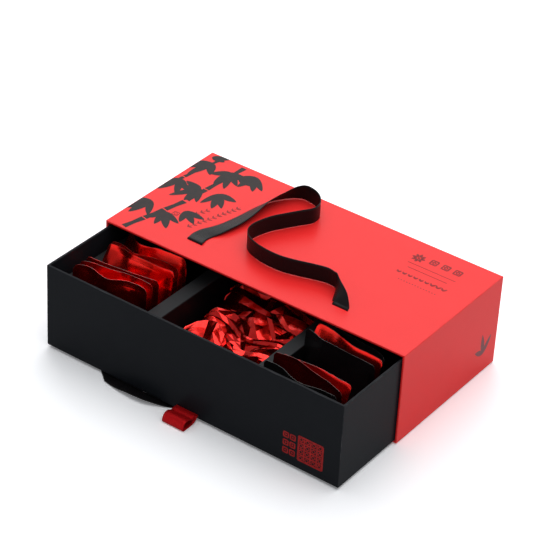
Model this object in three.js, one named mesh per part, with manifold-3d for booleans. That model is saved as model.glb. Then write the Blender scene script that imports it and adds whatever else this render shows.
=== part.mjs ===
// Drawer gift box: a paper-wrapped grey-board sleeve with two ribbon handles, and a drawer that slides out of its
// mouth, with a folded card insert, a ribbon pull tab and foil sachets standing in three compartments.
// Millimetres, +Z up. The origin is the middle of the sleeve's underside, and the drawer slides out along -Y.
import * as THREE from "three";
import { mergeVertices } from "three/addons/utils/BufferGeometryUtils.js";
import Module from "manifold-3d";

// Sheet materials
const sleeve_board = 1.4;
const drawer_board = 1.6;
const paper = 0.2;
const insert_card = 0.6;

// Sleeve
const sleeve_width = 300;
const sleeve_depth = 145.5;
const sleeve_height = 85.5;
const mouth_turn_in = 12;
const base_turn_under = 15;
const sheet_seam = 0.2;

// Ribbon handles
const ribbon_width = 15;
const ribbon_thickness = 0.5;
const slit_spacing = 146.4;
const slit_setback = 22;
const slit_end_clearance = 0.3;
const slit_face_clearance = 0.35;
const ribbon_tail = 20;
const tail_pocket_depth = 0.8;
const ribbon_seat_gap = 0.1;
const ribbon_rest_gap = 0.25;
const ribbon_arch = 1.1;
const ribbon_step = 3;

// Drawer and how it runs in the sleeve
const drawer_height = 78.8;
const side_running_gap = 0.5;
const base_running_gap = 0.2;
const closed_end_gap = 0.5;
const pulled_out = 77.4;
const rim_turn_in = 14;

// Pull tab
const tab_width = 22;
const tab_reach = 19.4;
const tab_rise = 3.8;
const tab_drop = 4.6;
const tab_root_height = 3;
const tab_root_gap = 0.6;
const tab_slit_clearance = 0.25;
const tab_tail_length = 18;

// Card insert
const insert_height = 58;
const ledge_width = 8.5;
const left_divider_width = 13.5;
const right_divider_width = 12.2;
const left_divider_share = -0.1872;
const right_divider_share = 0.1882;
const insert_side_gap = 0.3;
const insert_front_gap = 1.6;
const insert_back_gap = 0.4;

// Foil sachets
const sachet_side_gap = 2.4;
const sachet_height = 73;
const sachet_fill = 6.4;
const sachet_seal = 0.8;
const sachet_rest_gap = 0.3;
const middle_sachet_side_gap = 4;
const middle_sachet_height = 72;

// Cuts run this far past the faces that they open
const cut_overrun = 1;

const wasm = await Module();
wasm.setup();

const red_paper = { color: 0xd8232a, roughness: 0.55, metalness: 0 };
const black_paper = { color: 0x17181b, roughness: 0.6, metalness: 0 };
const grey_board = { color: 0x8b8880, roughness: 0.9, metalness: 0 };
const black_card = { color: 0x1b1c1f, roughness: 0.65, metalness: 0 };
const black_ribbon = { color: 0x1a1517, roughness: 0.5, metalness: 0 };
const red_ribbon = { color: 0xb5121f, roughness: 0.45, metalness: 0 };
const red_foil = { color: 0xb0101a, roughness: 0.25, metalness: 0.8 };
const black_foil = { color: 0x141416, roughness: 0.2, metalness: 0.6 };

function addMesh(group, name, geometry, look) {
  const mesh = new THREE.Mesh(geometry, new THREE.MeshStandardMaterial(look));
  mesh.name = name;
  group.add(mesh);
  return mesh;
}

function solidOf(geometry) {
  const bare = geometry.clone();
  bare.deleteAttribute("normal");
  bare.deleteAttribute("uv");
  const merged = mergeVertices(bare);
  const vertProperties = new Float32Array(merged.attributes.position.array);
  const triVerts = new Uint32Array(merged.index.array);
  return new wasm.Manifold(new wasm.Mesh({ numProp: 3, vertProperties, triVerts }));
}

function geometryOf(solid) {
  const mesh = solid.getMesh();
  const geometry = new THREE.BufferGeometry();
  geometry.setAttribute("position", new THREE.BufferAttribute(new Float32Array(mesh.vertProperties), 3));
  geometry.setIndex(new THREE.BufferAttribute(new Uint32Array(mesh.triVerts), 1));
  geometry.computeVertexNormals();
  return geometry;
}

// A box between two corners, each given as [x, y, z]. Its vertices are set to the corners themselves, so that boxes
// that share a face share it exactly.
function block(low, high) {
  const geometry = new THREE.BoxGeometry(1, 1, 1);
  const vertices = geometry.attributes.position;
  for (let index = 0; index < vertices.count; index += 1) {
    low.forEach((value, axis) => {
      vertices.setComponent(index, axis, vertices.getComponent(index, axis) > 0 ? high[axis] : value);
    });
  }
  return solidOf(geometry);
}

function cutAll(solid, cuts) {
  return cuts.reduce((rest, cut) => rest.subtract(cut), solid);
}

// Where the sleeve's sheets begin and end, from its outer faces inwards
const sleeve_wall = paper + sleeve_board + paper;
const mouth = -sleeve_depth / 2;
const sleeve_back = sleeve_depth / 2;
const half_sleeve = sleeve_width / 2;
const slit_line = mouth + slit_setback;
const slit_half_length = ribbon_width / 2 + slit_end_clearance;
const slit_half_gap = ribbon_thickness / 2 + slit_face_clearance;
const handle_sides = [-1, 1];

// The sleeve's inside from wall depth `inset`, from y `front` to the back wall at the same depth
function sleeveCore(inset, front, back_inset = inset) {
  const low = [inset - half_sleeve, front, inset];
  const high = [half_sleeve - inset, sleeve_back - back_inset, sleeve_height - inset];
  return block(low, high);
}

function ribbonSlits(low, high) {
  return handle_sides.map((side) => {
    const middle = (side * slit_spacing) / 2;
    return block(
      [middle - slit_half_length, slit_line - slit_half_gap, low - cut_overrun],
      [middle + slit_half_length, slit_line + slit_half_gap, high + cut_overrun],
    );
  });
}

// Shallow beds in a panel's inner face, where the glued ribbon ends lie under the lining
function tailBeds(low, high) {
  return handle_sides.map((side) => {
    const middle = (side * slit_spacing) / 2;
    return block(
      [middle - slit_half_length, slit_line - slit_half_gap, low],
      [middle + slit_half_length, slit_line + ribbon_tail + slit_half_gap, high],
    );
  });
}

function sleevePanel(low, high, bed_low, bed_high) {
  const panel = block([paper - half_sleeve, mouth + paper, low], [half_sleeve - paper, sleeve_back - paper, high]);
  return geometryOf(cutAll(panel, [...ribbonSlits(low, high), ...tailBeds(bed_low, bed_high)]));
}

function sleeveWrap() {
  const turn_end = mouth + mouth_turn_in;
  const board_space = sleeveCore(paper, mouth + paper).subtract(
    block(
      [paper + sleeve_board - half_sleeve, mouth, paper + sleeve_board],
      [half_sleeve - paper - sleeve_board, turn_end, sleeve_height - paper - sleeve_board],
    ),
  );
  const opening = block(
    [sleeve_wall - half_sleeve, mouth - cut_overrun, sleeve_wall],
    [half_sleeve - sleeve_wall, turn_end + cut_overrun, sleeve_height - sleeve_wall],
  );
  const base_window = block(
    [base_turn_under - half_sleeve, mouth + base_turn_under, -cut_overrun],
    [half_sleeve - base_turn_under, sleeve_back - base_turn_under, paper],
  );
  const slits = ribbonSlits(sleeve_height - paper, sleeve_height);
  return geometryOf(cutAll(sleeveCore(0, mouth), [board_space, opening, base_window, ...slits]));
}

function sleeveBaseSheet() {
  const edge = base_turn_under + sheet_seam;
  const sheet = block([edge - half_sleeve, mouth + edge, 0], [half_sleeve - edge, sleeve_back - edge, paper]);
  return geometryOf(cutAll(sheet, ribbonSlits(0, paper)));
}

function sleeveLining() {
  const front = mouth + mouth_turn_in;
  const outside = sleeveCore(paper + sleeve_board, front);
  const inside = sleeveCore(sleeve_wall, front - cut_overrun, sleeve_wall);
  return geometryOf(outside.subtract(inside));
}

// A ribbon swept through stations {centre, across}: across runs from the middle to one edge, so it may slant at a fold
function ribbonStrip(stations, thickness, step) {
  const centres = new THREE.CatmullRomCurve3(stations.map((station) => station.centre), false, "centripetal");
  const acrosses = new THREE.CatmullRomCurve3(stations.map((station) => station.across), false, "catmullrom", 0.5);
  const spans = stations.length - 1;
  const places = [0];
  for (let span = 0; span < spans; span += 1) {
    const length = stations[span].centre.distanceTo(stations[span + 1].centre);
    const cuts = Math.max(1, Math.ceil(length / step));
    for (let cut = 1; cut <= cuts; cut += 1) {
      places.push((span + cut / cuts) / spans);
    }
  }
  const middles = places.map((place) => centres.getPoint(place));
  const positions = [];
  middles.forEach((middle, index) => {
    const ahead = middles[Math.min(index + 1, middles.length - 1)];
    const behind = middles[Math.max(index - 1, 0)];
    const along = ahead.clone().sub(behind).normalize();
    const across = acrosses.getPoint(places[index]);
    const lift = across.clone().cross(along).normalize().multiplyScalar(thickness / 2);
    for (const [edge, face] of [[1, 1], [-1, 1], [-1, -1], [1, -1]]) {
      const corner = middle.clone().addScaledVector(across, edge).addScaledVector(lift, face);
      positions.push(corner.x, corner.y, corner.z);
    }
  });
  const indices = [];
  for (let ring = 0; ring < middles.length - 1; ring += 1) {
    for (let side = 0; side < 4; side += 1) {
      const near = ring * 4 + side;
      const next = ring * 4 + ((side + 1) % 4);
      indices.push(near, next + 4, next, near, near + 4, next + 4);
    }
  }
  const last = (middles.length - 1) * 4;
  indices.push(0, 1, 2, 0, 2, 3, last, last + 2, last + 1, last, last + 3, last + 2);
  const geometry = new THREE.BufferGeometry();
  geometry.setAttribute("position", new THREE.Float32BufferAttribute(positions, 3));
  geometry.setIndex(indices);
  geometry.computeVertexNormals();
  return geometry;
}

// The glued end under the lining and the passage through the panel's slit, from the inside out.
// `up` is 1 on the top panel and -1 on the base, and `across` points to the ribbon's edge.
function slitPassage(side, up, outer_face, across) {
  const x = (side * slit_spacing) / 2;
  const bed = outer_face - up * (paper + sleeve_board - tail_pocket_depth / 2);
  const bend = ribbon_thickness * 0.6;
  const places = [
    [ribbon_tail, bed],
    [ribbon_tail / 2, bed],
    [bend * 2, bed],
    [bend / 2, bed + up * bend / 3],
    [0, bed + up * bend * 1.5],
    [0, outer_face],
  ];
  return places.map(([back, z]) => ({ centre: new THREE.Vector3(x, slit_line + back, z), across: across.clone() }));
}

// The top handle lies where it was dropped: a first run that tips up on its edge, a far bend, a run back, a near bend
// and a last run that drops flat at the second slit. Each row has the foot edge's place, as shares of half the slit
// spacing and of the sleeve's depth from the mouth, and the direction from the foot edge to the head edge as shares of
// the width.
const top_route_shares = [
  [-1.119, 0.211, 1, -0.03, 0],
  [-1.097, 0.273, 0.97, -0.22, 0],
  [-1.041, 0.332, 0.93, -0.34, 0.1],
  [-0.996, 0.393, 0.94, -0.27, 0.21],
  [-0.967, 0.459, 0.95, -0.17, 0.26],
  [-0.941, 0.536, 0.92, -0.13, 0.36],
  [-0.922, 0.609, 0.86, -0.12, 0.49],
  [-0.906, 0.666, 0.79, -0.13, 0.6],
  [-0.888, 0.713, 0.72, -0.17, 0.67],
  [-0.863, 0.754, 0.66, -0.23, 0.71],
  [-0.831, 0.796, 0.59, -0.28, 0.76],
  [-0.792, 0.83, 0.51, -0.29, 0.81],
  [-0.746, 0.863, 0.39, -0.29, 0.87],
  [-0.699, 0.89, 0.27, -0.25, 0.93],
  [-0.648, 0.91, 0.15, -0.2, 0.97],
  [-0.587, 0.923, 0.05, -0.1, 0.99],
  [-0.516, 0.92, 0, 0, 1],
  [-0.389, 0.904, 0, 0, 1],
  [-0.28, 0.863, 0, 0, 1],
  [-0.216, 0.811, 0, 0, 1],
  [-0.208, 0.749, 0, 0, 1],
  [-0.294, 0.674, 0, 0, 1],
  [-0.389, 0.595, 0, 0, 1],
  [-0.47, 0.522, 0, 0, 1],
  [-0.519, 0.447, 0, 0, 1],
  [-0.54, 0.378, 0, 0, 1],
  [-0.516, 0.323, 0, 0, 1],
  [-0.437, 0.276, 0, 0, 1],
  [-0.3, 0.242, 0, 0, 1],
  [-0.109, 0.223, 0, 0, 1],
  [0.089, 0.223, 0, 0, 1],
  [0.273, 0.244, 0, 0, 1],
  [0.464, 0.275, 0, 0, 1],
  [0.628, 0.295, 0, 0, 1],
  [0.724, 0.292, 0, -0.05, 1],
  [0.757, 0.284, 0.02, 0, 1],
  [0.78, 0.267, 0.07, 0.03, 1],
  [0.801, 0.246, 0.16, 0.07, 0.98],
  [0.824, 0.22, 0.31, 0.14, 0.94],
  [0.846, 0.196, 0.5, 0.22, 0.84],
  [0.869, 0.174, 0.75, 0.25, 0.61],
];

function topHandleStations() {
  const edge = ribbon_width / 2;
  const right = new THREE.Vector3(edge, 0, 0);
  const half_spacing = slit_spacing / 2;
  const arch = (side) => {
    const x = side * half_spacing;
    return [
      [0, ribbon_arch / 2],
      [ribbon_arch / 2, ribbon_arch],
      [ribbon_arch * 2, ribbon_arch],
    ].map(([back, up]) => ({
      centre: new THREE.Vector3(x, slit_line + back, sleeve_height + up),
      across: right.clone(),
    }));
  };
  const run = top_route_shares.map(([x, y, out_x, out_y, out_z]) => {
    const across = new THREE.Vector3(out_x, out_y, out_z).normalize().multiplyScalar(edge);
    const foot = new THREE.Vector3(x * half_spacing, mouth + y * sleeve_depth, sleeve_height + ribbon_rest_gap * 2);
    return { centre: foot.add(across), across };
  });
  return [
    ...slitPassage(-1, 1, sleeve_height, right),
    ...arch(-1),
    ...run,
    ...arch(1).reverse(),
    ...slitPassage(1, 1, sleeve_height, right).reverse(),
  ];
}

// The base handle lies flat on the surface under the box. It comes forward under the drawer, folds over at a slant in
// front of it, runs along its front and goes back under it to the second slit. Shares as in the route above, for the
// middle of the ribbon, and then the direction to its edge.
const base_route_before_fold_shares = [
  [-1.038, 0.005, 1, -0.15],
  [-1.127, -0.167, 0.96, -0.28],
  [-1.223, -0.325, 0.97, -0.22],
  [-1.254, -0.428, 1, 0.05],
];
const base_route_after_fold_shares = [
  [-1.093, -0.531, 0, -1],
  [-0.996, -0.541, -0.12, -0.99],
  [-0.859, -0.556, -0.12, -0.99],
  [-0.751, -0.561, -0.06, -1],
  [-0.628, -0.565, 0, -1],
  [-0.526, -0.558, 0.2, -0.98],
  [-0.449, -0.542, 0.42, -0.91],
  [-0.372, -0.52, 0.56, -0.83],
  [-0.287, -0.491, 0.61, -0.79],
  [0, -0.378, 0.62, -0.79],
  [0.5, -0.18, 0.62, -0.79],
  [0.842, -0.046, 0.65, -0.76],
  [0.955, 0.018, 0.85, -0.53],
  [0.995, 0.085, 0.99, -0.1],
];
const fold_place_shares = [-1.208, -0.531];
const fold_slant_shares = [1.222, -0.987];

function baseHandleStations() {
  const edge = ribbon_width / 2;
  const half_spacing = slit_spacing / 2;
  const lower = -ribbon_seat_gap - ribbon_thickness / 2;
  const fold_radius = (ribbon_thickness + ribbon_seat_gap) / 2;
  const right = new THREE.Vector3(edge, 0, 0);
  const flat = ([x, y, out_x, out_y]) => ({
    centre: new THREE.Vector3(x * half_spacing, mouth + y * sleeve_depth, lower),
    across: new THREE.Vector3(out_x, out_y, 0).normalize().multiplyScalar(edge),
  });
  const slant = new THREE.Vector3(...fold_slant_shares, 0).multiplyScalar(edge);
  const outward = new THREE.Vector3(slant.y, -slant.x, 0).normalize();
  const fold_centre = new THREE.Vector3(
    fold_place_shares[0] * half_spacing,
    mouth + fold_place_shares[1] * sleeve_depth,
    lower + fold_radius,
  );
  const fold = [-90, -45, 0, 45, 90].map((degrees) => {
    const turn = THREE.MathUtils.degToRad(degrees);
    const centre = fold_centre.clone().addScaledVector(outward, fold_radius * Math.cos(turn));
    centre.z += fold_radius * Math.sin(turn);
    return { centre, across: slant.clone() };
  });
  const after = base_route_after_fold_shares.map(flat);
  after[0].centre.z = lower + 2 * fold_radius;
  after[1].centre.z = lower + 2 * fold_radius;
  const leave = (side) => [
    [0, -ribbon_arch / 8],
    [-ribbon_arch / 3, lower],
    [-ribbon_arch * 2, lower],
  ].map(([back, z]) => ({
    centre: new THREE.Vector3(side * half_spacing, slit_line + back, z),
    across: right.clone(),
  }));
  return [
    ...slitPassage(-1, -1, 0, right),
    ...leave(-1),
    ...base_route_before_fold_shares.map(flat),
    ...fold,
    ...after,
    ...leave(1).reverse(),
    ...slitPassage(1, -1, 0, right).reverse(),
  ];
}

function buildSleeve() {
  const group = new THREE.Group();
  const top_outer = sleeve_height - paper;
  const top_inner = top_outer - sleeve_board;
  const base_inner = paper + sleeve_board;
  const side_outer = half_sleeve - paper;
  const side_inner = side_outer - sleeve_board;
  const back_outer = sleeve_back - paper;
  const back_inner = back_outer - sleeve_board;
  const front = mouth + paper;
  const top_panel = sleevePanel(top_inner, top_outer, top_inner - cut_overrun, top_inner + tail_pocket_depth);
  const base_panel = sleevePanel(paper, base_inner, base_inner - tail_pocket_depth, base_inner + cut_overrun);
  const left_panel = block([-side_outer, front, base_inner], [-side_inner, back_outer, top_inner]);
  const right_panel = block([side_inner, front, base_inner], [side_outer, back_outer, top_inner]);
  const back_panel = block([-side_inner, back_inner, base_inner], [side_inner, back_outer, top_inner]);
  addMesh(group, "sleeve_top_board", top_panel, grey_board);
  addMesh(group, "sleeve_base_board", base_panel, grey_board);
  addMesh(group, "sleeve_left_board", geometryOf(left_panel), grey_board);
  addMesh(group, "sleeve_right_board", geometryOf(right_panel), grey_board);
  addMesh(group, "sleeve_back_board", geometryOf(back_panel), grey_board);
  addMesh(group, "sleeve_printed_wrap", sleeveWrap(), red_paper);
  addMesh(group, "sleeve_base_sheet", sleeveBaseSheet(), red_paper);
  addMesh(group, "sleeve_lining", sleeveLining(), black_paper);
  addMesh(group, "top_handle_ribbon", ribbonStrip(topHandleStations(), ribbon_thickness, ribbon_step), black_ribbon);
  addMesh(group, "base_handle_ribbon", ribbonStrip(baseHandleStations(), ribbon_thickness, ribbon_step), black_ribbon);
  return group;
}

// The drawer, in its own frame: the front's outer face is y 0, its underside z 0
const drawer_width = sleeve_width - 2 * (sleeve_wall + side_running_gap);
const drawer_length = sleeve_depth - sleeve_wall - closed_end_gap;
const drawer_wall = paper + drawer_board + paper;
const half_drawer = drawer_width / 2;
const tab_slit_half_height = ribbon_thickness + tab_slit_clearance;

// The drawer's inside from wall depth `inset`, from height `low` to `high`
function drawerCore(inset, low, high) {
  return block([inset - half_drawer, inset, low], [half_drawer - inset, drawer_length - inset, high]);
}

function tabSlit() {
  const half_length = tab_width / 2 + slit_end_clearance;
  return block(
    [-half_length, -cut_overrun, tab_root_height - tab_slit_half_height],
    [half_length, drawer_wall + cut_overrun, tab_root_height + tab_slit_half_height],
  );
}

function drawerWrap() {
  const turn_end = drawer_height - rim_turn_in;
  const board_space = drawerCore(paper, paper, drawer_height - paper).subtract(
    drawerCore(paper + drawer_board, turn_end, drawer_height),
  );
  const opening = drawerCore(drawer_wall, turn_end - cut_overrun, drawer_height + cut_overrun);
  return geometryOf(cutAll(drawerCore(0, 0, drawer_height), [board_space, opening, tabSlit()]));
}

function drawerLining() {
  const turn_end = drawer_height - rim_turn_in;
  const outside = drawerCore(paper + drawer_board, paper + drawer_board, turn_end);
  const inside = drawerCore(drawer_wall, drawer_wall, turn_end + cut_overrun);
  return geometryOf(cutAll(outside, [inside, tabSlit()]));
}

// The loop's side view, outwards from its root, as shares of the reach and of the rise or the drop
const tab_profile_shares = [
  [0, 0.08],
  [0.12, 0.2],
  [0.36, 0.6],
  [0.6, 0.92],
  [0.78, 1],
  [0.92, 0.82],
  [0.99, 0.35],
  [1, -0.1],
  [0.97, -0.6],
  [0.88, -0.93],
  [0.72, -1],
  [0.45, -1],
  [0.22, -0.93],
  [0.09, -0.62],
  [0.02, -0.25],
  [0, -0.065],
];

function tabStation(out, up) {
  return {
    centre: new THREE.Vector3(0, -tab_root_gap - out, tab_root_height + up),
    across: new THREE.Vector3(tab_width / 2, 0, 0),
  };
}

function tabLoop() {
  const stations = tab_profile_shares.map(([out_share, up_share]) => {
    const up = up_share * (up_share > 0 ? tab_rise : tab_drop);
    return tabStation(out_share * tab_reach, up);
  });
  return ribbonStrip(stations, ribbon_thickness, ribbon_step);
}

// Both layers of the tab's glued end, through the slit and up the inside of the front
function tabTail() {
  const layers = 2 * ribbon_thickness;
  const inside = drawer_wall + ribbon_seat_gap + layers / 2;
  const places = [
    [0, 0],
    [drawer_wall / 2, 0],
    [drawer_wall, 0],
    [inside - layers / 8, layers / 2],
    [inside, layers * 1.5],
    [inside, tab_tail_length / 2],
    [inside, tab_tail_length],
  ];
  const stations = places.map(([back, up]) => tabStation(-tab_root_gap - back, up));
  return ribbonStrip(stations, layers, ribbon_step);
}

const insert_floor = drawer_wall + insert_card;
const insert_front = drawer_wall + insert_front_gap;
const insert_back = drawer_length - drawer_wall - insert_back_gap;
const insert_side = half_drawer - drawer_wall - insert_side_gap;

// The three wells' edges, from the left ledge to the right one. The dividers keep their share of the drawer's width.
const left_divider_place = left_divider_share * drawer_width;
const right_divider_place = right_divider_share * drawer_width;
const well_edge = insert_side - ledge_width;
const left_well = [-well_edge, left_divider_place - left_divider_width / 2];
const middle_well = [left_divider_place + left_divider_width / 2, right_divider_place - right_divider_width / 2];
const right_well = [right_divider_place + right_divider_width / 2, well_edge];

// A folded card run along the drawer, cut out of the x-z outline
function foldedCard(outline) {
  const shape = new THREE.Shape(outline.map(([x, z]) => new THREE.Vector2(x, z)));
  const geometry = new THREE.ExtrudeGeometry(shape, { depth: insert_back - insert_front, bevelEnabled: false });
  geometry.rotateX(Math.PI / 2);
  geometry.translate(0, insert_back, 0);
  return geometryOf(solidOf(geometry));
}

// An upside-down channel: a flat top and a leg down to the floor on each side
function dividerCard(middle, width) {
  const left = middle - width / 2;
  const right = middle + width / 2;
  return foldedCard([
    [left, insert_floor],
    [left + insert_card, insert_floor],
    [left + insert_card, insert_height - insert_card],
    [right - insert_card, insert_height - insert_card],
    [right - insert_card, insert_floor],
    [right, insert_floor],
    [right, insert_height],
    [left, insert_height],
  ]);
}

// A ledge along a side wall: a flat top from the wall and one leg down to the floor
function ledgeCard(side) {
  const wall = side * insert_side;
  const leg = side * (insert_side - ledge_width);
  const leg_back = leg + side * insert_card;
  const outline = [
    [leg, insert_floor],
    [leg_back, insert_floor],
    [leg_back, insert_height - insert_card],
    [wall, insert_height - insert_card],
    [wall, insert_height],
    [leg, insert_height],
  ];
  return foldedCard(side > 0 ? outline : outline.reverse());
}

function buildInsert(group) {
  const base = block([-insert_side, insert_front, drawer_wall], [insert_side, insert_back, insert_floor]);
  addMesh(group, "insert_base_card", geometryOf(base), black_card);
  addMesh(group, "insert_left_ledge", ledgeCard(-1), black_card);
  addMesh(group, "insert_left_divider", dividerCard(left_divider_place, left_divider_width), black_card);
  addMesh(group, "insert_right_divider", dividerCard(right_divider_place, right_divider_width), black_card);
  addMesh(group, "insert_right_ledge", ledgeCard(1), black_card);
}

// A filled foil pouch, standing on its lower seal: flat seals at both ends and a full belly between them
function sachetGeometry(width, height) {
  const rings = 9;
  const sides = 12;
  const positions = [];
  for (let ring = 0; ring < rings; ring += 1) {
    const share = ring / (rings - 1);
    const swell = Math.pow(Math.sin(Math.PI * share), 0.8);
    const half_width = (width / 2) * (1 - 0.04 * swell);
    const half_depth = sachet_seal / 2 + ((sachet_fill - sachet_seal) / 2) * swell;
    for (let side = 0; side < sides; side += 1) {
      const turn = (2 * Math.PI * side) / sides;
      const depth = Math.sign(Math.sin(turn)) * Math.pow(Math.abs(Math.sin(turn)), 1.2);
      positions.push(half_width * Math.cos(turn), half_depth * depth, height * share);
    }
  }
  const indices = [];
  for (let ring = 0; ring < rings - 1; ring += 1) {
    for (let side = 0; side < sides; side += 1) {
      const near = ring * sides + side;
      const next = ring * sides + ((side + 1) % sides);
      indices.push(near, next, next + sides, near, next + sides, near + sides);
    }
  }
  const top = (rings - 1) * sides;
  for (let side = 1; side < sides - 1; side += 1) {
    indices.push(0, side + 1, side, top, top + side, top + side + 1);
  }
  const geometry = new THREE.BufferGeometry();
  geometry.setAttribute("position", new THREE.Float32BufferAttribute(positions, 3));
  geometry.setIndex(indices);
  geometry.computeVertexNormals();
  return geometry;
}

// Each row of sachets, front to back: its well, where each stands as shares of the drawer's length, and how far each
// leans back and is turned, in degrees. The side rows stand up, and the middle row has slid down into a shingled pile.
const sachet_rows = [
  {
    name: "left_sachet",
    well: left_well,
    side_gap: sachet_side_gap,
    height: sachet_height,
    place_shares: [0.063, 0.126, 0.185, 0.293, 0.349, 0.447],
    leans: [7.5, 7.5, 7.5, 10.5, 9.5, 10],
    turns: [8, 7, 7.5, 6, 4, 0],
    looks: [red_foil, red_foil, red_foil, red_foil, red_foil, red_foil],
  },
  {
    name: "middle_sachet",
    well: middle_well,
    side_gap: middle_sachet_side_gap,
    height: middle_sachet_height,
    place_shares: [0.042, 0.14, 0.238, 0.336, 0.434, 0.532],
    leans: [58, 58, 58, 58, 58, 58],
    turns: [0, 0, 0, 0, 0, 0],
    looks: [red_foil, red_foil, red_foil, red_foil, red_foil, red_foil],
  },
  {
    name: "right_sachet",
    well: right_well,
    side_gap: sachet_side_gap,
    height: sachet_height,
    place_shares: [0.042, 0.104, 0.166, 0.398, 0.457, 0.522],
    leans: [4.5, 4.5, 4.5, 7.5, 7, 6.5],
    turns: [-0.5, -4, -4, -2.2, -5, -8],
    looks: [black_foil, red_foil, red_foil, black_foil, red_foil, black_foil],
  },
];

function buildSachets(group) {
  for (const row of sachet_rows) {
    const [left, right] = row.well;
    const width = right - left - 2 * row.side_gap;
    row.leans.forEach((lean, index) => {
      const geometry = sachetGeometry(width, row.height);
      const mesh = addMesh(group, `${row.name}_${index + 1}`, geometry, row.looks[index]);
      mesh.rotation.order = "ZXY";
      mesh.rotation.x = -THREE.MathUtils.degToRad(lean);
      mesh.rotation.z = THREE.MathUtils.degToRad(row.turns[index]);
      const lift = (sachet_seal / 2) * Math.sin(THREE.MathUtils.degToRad(lean)) + sachet_rest_gap;
      mesh.position.set((left + right) / 2, row.place_shares[index] * drawer_length, insert_floor + lift);
    });
  }
}

function buildDrawer() {
  const group = new THREE.Group();
  group.position.set(0, mouth - pulled_out, sleeve_wall + base_running_gap);
  const side_outer = half_drawer - paper;
  const side_inner = side_outer - drawer_board;
  const back_outer = drawer_length - paper;
  const back_inner = back_outer - drawer_board;
  const front_inner = paper + drawer_board;
  const floor = paper + drawer_board;
  const top = drawer_height - paper;
  const base_panel = block([-side_outer, paper, paper], [side_outer, back_outer, floor]);
  const front_panel = block([-side_outer, paper, floor], [side_outer, front_inner, top]).subtract(tabSlit());
  const back_panel = block([-side_outer, back_inner, floor], [side_outer, back_outer, top]);
  const left_panel = block([-side_outer, front_inner, floor], [-side_inner, back_inner, top]);
  const right_panel = block([side_inner, front_inner, floor], [side_outer, back_inner, top]);
  addMesh(group, "drawer_base_board", geometryOf(base_panel), grey_board);
  addMesh(group, "drawer_front_board", geometryOf(front_panel), grey_board);
  addMesh(group, "drawer_back_board", geometryOf(back_panel), grey_board);
  addMesh(group, "drawer_left_board", geometryOf(left_panel), grey_board);
  addMesh(group, "drawer_right_board", geometryOf(right_panel), grey_board);
  addMesh(group, "drawer_wrap", drawerWrap(), black_paper);
  addMesh(group, "drawer_lining", drawerLining(), black_paper);
  addMesh(group, "pull_tab_tail", tabTail(), red_ribbon);
  addMesh(group, "pull_tab_loop", tabLoop(), red_ribbon);
  buildInsert(group);
  buildSachets(group);
  return group;
}

const box = new THREE.Group();
box.add(buildSleeve());
box.add(buildDrawer());

export default box;
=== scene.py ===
"""Looks of a drawer gift box: a red paper sleeve with two ribbon handles, and a black drawer with a ribbon
pull tab, a folded card insert and crumpled foil sachets."""

import math
import random
from bisect import bisect_left

import bmesh
import bpy
from mathutils import Matrix, Vector


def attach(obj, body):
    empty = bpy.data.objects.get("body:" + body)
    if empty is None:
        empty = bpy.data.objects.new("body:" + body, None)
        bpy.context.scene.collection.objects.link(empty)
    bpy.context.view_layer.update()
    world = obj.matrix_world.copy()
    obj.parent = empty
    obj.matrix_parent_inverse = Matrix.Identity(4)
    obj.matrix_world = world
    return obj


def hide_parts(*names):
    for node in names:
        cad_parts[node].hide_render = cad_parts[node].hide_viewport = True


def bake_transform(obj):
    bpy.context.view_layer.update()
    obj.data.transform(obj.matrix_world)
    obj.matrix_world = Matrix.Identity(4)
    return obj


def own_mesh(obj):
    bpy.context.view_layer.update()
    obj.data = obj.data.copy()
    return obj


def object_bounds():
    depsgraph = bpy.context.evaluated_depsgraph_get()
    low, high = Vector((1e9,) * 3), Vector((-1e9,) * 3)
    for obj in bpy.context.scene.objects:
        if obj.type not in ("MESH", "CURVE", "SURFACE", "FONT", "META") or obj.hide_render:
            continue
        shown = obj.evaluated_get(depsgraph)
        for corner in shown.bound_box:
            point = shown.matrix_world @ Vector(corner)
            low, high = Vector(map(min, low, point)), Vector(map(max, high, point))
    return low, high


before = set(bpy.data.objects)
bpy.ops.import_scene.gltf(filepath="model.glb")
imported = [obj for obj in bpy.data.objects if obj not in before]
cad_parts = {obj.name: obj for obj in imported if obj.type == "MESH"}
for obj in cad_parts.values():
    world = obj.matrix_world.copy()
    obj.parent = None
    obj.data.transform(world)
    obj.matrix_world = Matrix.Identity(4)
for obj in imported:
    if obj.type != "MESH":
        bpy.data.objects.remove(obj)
cad_low, cad_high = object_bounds()

MM = 0.001

# Sleeve, drawer and insert, in millimetres, as in the CAD
sleeve_half_width = 150
sleeve_front = -72.75
sleeve_back = 72.75
sleeve_depth = sleeve_back - sleeve_front
sleeve_height = 85.5
drawer_half_width = 147.7
drawer_front = -150.15
drawer_length = 143.2
drawer_back = drawer_front + drawer_length
drawer_under = 2
drawer_rim = 80.8
drawer_wall = 2
insert_floor = 4.6
insert_top = 60
sleeve_box = ((-sleeve_half_width, sleeve_front, 0), (sleeve_half_width, sleeve_back, sleeve_height))
drawer_box = ((-drawer_half_width, drawer_front, drawer_under), (drawer_half_width, drawer_back, drawer_rim))

# Ribbons, their slits in the sleeve, and the sachets' welded band, in millimetres
ribbon_width = 15
ribbon_thickness = 0.5
ribbon_steps_across = 8
route_steps = 800
slit_half_spacing = 73.2
slit_y = -50.75
bed_depth = 1.2
glued_length = 20
tab_width = 21.2
weld_band = 4.5
weld_half_thickness = 0.15

# Camera, fitted to the corners of the sleeve and the drawer: millimetres, degrees and pixels
camera_place = (889.93, -1329.33, 1129.02)
camera_azimuth = 34.740
camera_elevation = 33.700
camera_roll = 3.198
camera_focal_length = 2316.6
photo_width = 539
sensor_width_mm = 36

# Room: its light, and the upward slopes at which its mirrored wall begins to turn white and is white
room_colour = (0.96, 0.99, 1.04)
room_strength = 0.33
white_wall_starts = 0.52
white_wall_full = 0.24

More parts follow.
